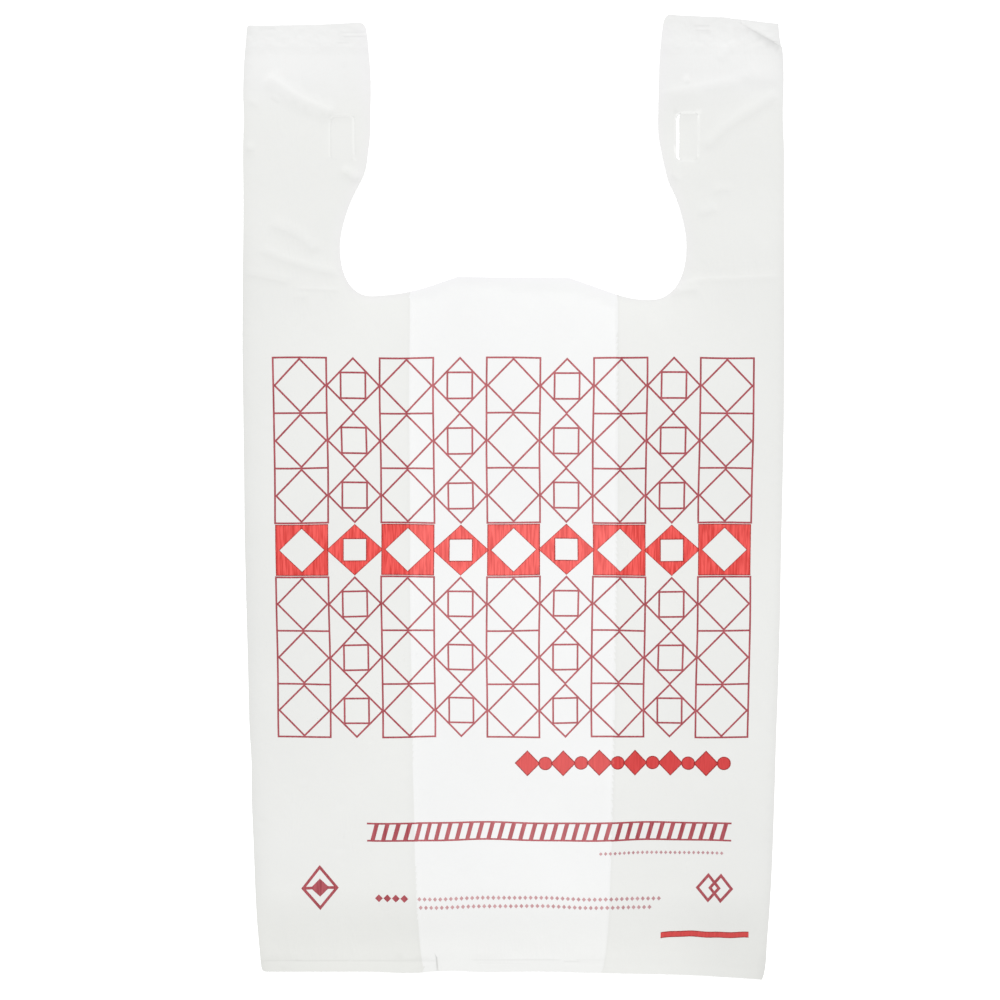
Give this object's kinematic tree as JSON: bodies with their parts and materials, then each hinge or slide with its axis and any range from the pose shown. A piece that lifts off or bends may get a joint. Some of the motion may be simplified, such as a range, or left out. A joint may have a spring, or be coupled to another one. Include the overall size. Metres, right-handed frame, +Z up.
{
  "type": "plastic carrier bag",
  "caption": "Thin white film carrier bag with side gussets and cut handles, lying flat and empty, with geometric red print.",
  "frame": {"origin": "centre of the bag's box, on the surface it lies on", "axes": "+X across the bag to the viewer's right, +Y along the bag from the bottom seal to the handles, +Z up out of the printed front"},
  "size_m": [0.2938, 0.5346, 0.0063],
  "materials": {
    "film": "thin white polyethylene film, satin, finely creased",
    "ink_solid": "red ink printed on film",
    "ink_line": "red ink printed on film in fine outlines",
    "ink_pale": "thin red ink printed on film in fine lines"
  },
  "bodies": {
    "root": {"bag_film": "film", "print_rows_upper": "ink_line", "print_row_solid": "ink_solid", "print_rows_lower": "ink_line", "print_bead_border": "ink_solid", "print_bar_band": "ink_line", "print_fine_line": "ink_pale", "print_short_line": "ink_line", "print_long_line_upper": "ink_pale", "print_long_line_lower": "ink_pale", "print_emblem_left": "ink_line", "print_emblem_right": "ink_line", "print_register_bar": "ink_solid"}
  },
  "joints": []
}
